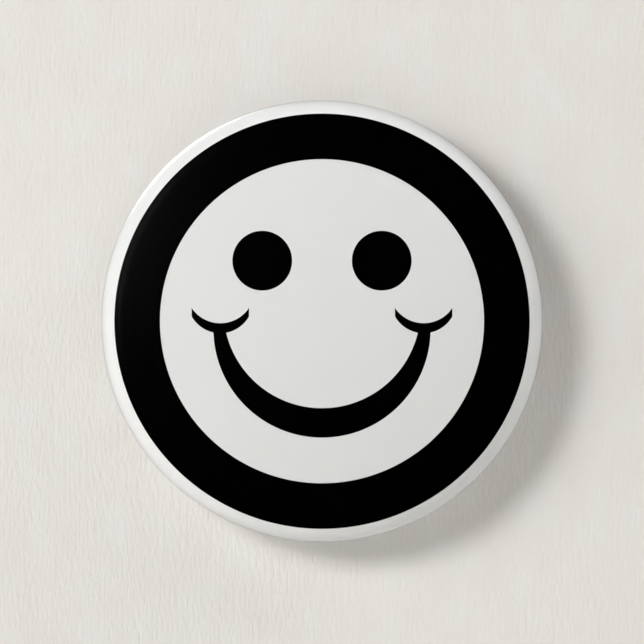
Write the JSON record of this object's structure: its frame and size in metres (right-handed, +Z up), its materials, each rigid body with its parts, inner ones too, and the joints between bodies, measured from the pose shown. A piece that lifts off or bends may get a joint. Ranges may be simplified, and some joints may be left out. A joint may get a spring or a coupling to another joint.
{
  "type": "button badge",
  "caption": "Round pin-back button badge: film over printed paper on a domed metal shell, crimped to a back plate with a spring-wire pin and catch.",
  "frame": {"origin": "middle of the badge's back, on the plane of the flat land that lies against the cloth", "axes": "+Z up as worn, +X to the right as seen by someone facing the badge, +Y out of the back into the cloth, so the face looks towards -Y"},
  "size_m": [0.0572, 0.0082, 0.0572],
  "materials": {
    "film": "clear glossy polyester film",
    "ink_black": "solid black print",
    "ink_offwhite": "very light off-white print",
    "paper": "smooth bright white coated paper",
    "tinplate": "bright tinplate with rolling grain",
    "nickel_wire": "drawn spring wire, bright nickel plated"
  },
  "bodies": {
    "badge": {"film_cover": "film", "ink_ring": "ink_black", "ink_ground": "ink_offwhite", "ink_eye_left": "ink_black", "ink_eye_right": "ink_black", "ink_smile": "ink_black", "printed_sheet": "paper", "front_shell": "tinplate", "back_plate": "tinplate", "pin_spring": "nickel_wire"},
    "needle": {"pin_needle": "nickel_wire"}
  },
  "joints": [
    {"name": "pin_open", "type": "hinge", "parent": "badge", "child": "needle", "pos_m": [0.0176, -0.0024, 0.0035], "axis": [0, 0.5736, -0.8192], "range_deg": [0, 35]}
  ]
}
